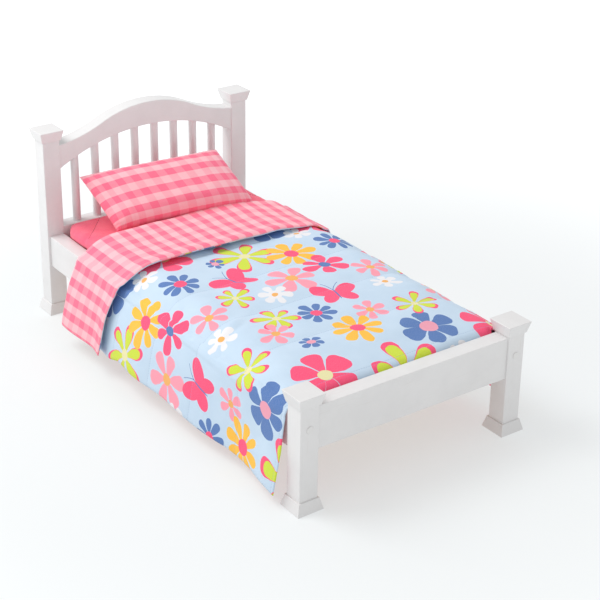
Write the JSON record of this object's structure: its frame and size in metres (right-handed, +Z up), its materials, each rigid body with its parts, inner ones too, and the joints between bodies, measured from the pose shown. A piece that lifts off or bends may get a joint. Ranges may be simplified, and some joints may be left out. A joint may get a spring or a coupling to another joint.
{
  "type": "doll bed",
  "caption": "White painted wooden doll's four poster bed with an arched spindle headboard, low footboard, slatted base, mattress with fitted sheet, pillow and patterned quilt.",
  "frame": {"origin": "on the floor under the middle of the bed", "axes": "+X across the bed to its right side as seen from the foot, +Y along it to the head end, +Z up"},
  "size_m": [0.336, 0.5534, 0.2487],
  "materials": {
    "white_paint": "satin white paint over smooth hardwood",
    "bare_pine": "planed bare pine",
    "beech_dowel": "fluted beech dowel pin",
    "zinc_steel": "zinc plated steel",
    "white_plug": "satin white cover plug",
    "mattress_ticking": "plain cotton ticking",
    "coral_sheet": "plain woven coral pink cotton",
    "gingham_pillow": "pink gingham cotton",
    "floral_duvet": "printed cotton quilt, flowers on light blue, pink gingham lining"
  },
  "bodies": {
    "frame": {"post_head_left": "white_paint", "cap_head_left": "white_paint", "foot_block_head_left": "white_paint", "post_head_right": "white_paint", "cap_head_right": "white_paint", "foot_block_head_right": "white_paint", "post_foot_left": "white_paint", "cap_foot_left": "white_paint", "foot_block_foot_left": "white_paint", "post_foot_right": "white_paint", "cap_foot_right": "white_paint", "foot_block_foot_right": "white_paint", "headboard_arch_rail": "white_paint", "headboard_lower_rail": "white_paint", "spindle_1": "white_paint", "spindle_2": "white_paint", "spindle_3": "white_paint", "spindle_4": "white_paint", "spindle_5": "white_paint", "spindle_6": "white_paint", "spindle_7": "white_paint", "spindle_8": "white_paint", "footboard_rail": "white_paint", "side_rail_left": "white_paint", "side_rail_right": "white_paint", "slat_ledger_left": "bare_pine", "slat_ledger_right": "bare_pine", "slat_1": "bare_pine", "slat_2": "bare_pine", "slat_3": "bare_pine", "slat_4": "bare_pine", "slat_5": "bare_pine", "slat_6": "bare_pine", "slat_7": "bare_pine", "cross_rail_dowels": "beech_dowel", "side_rail_dowels": "beech_dowel", "end_block_dowels": "beech_dowel", "connector_bolts": "zinc_steel", "barrel_nuts": "zinc_steel", "ledger_screws": "zinc_steel", "slat_screws": "zinc_steel", "bolt_cover_plugs": "white_plug"},
    "mattress": {"mattress": "mattress_ticking", "fitted_sheet": "coral_sheet"},
    "duvet": {"duvet": "floral_duvet"},
    "pillow": {"pillow": "gingham_pillow"}
  },
  "joints": [
    {"name": "mattress_lift", "type": "slide", "parent": "frame", "child": "mattress", "axis": [0, 0, 1], "range_m": [0, 0.12]},
    {"name": "duvet_lift", "type": "slide", "parent": "mattress", "child": "duvet", "axis": [0, 0, 1], "range_m": [0, 0.15]},
    {"name": "pillow_lift", "type": "slide", "parent": "mattress", "child": "pillow", "axis": [0, 0, 1], "range_m": [0, 0.15]}
  ]
}
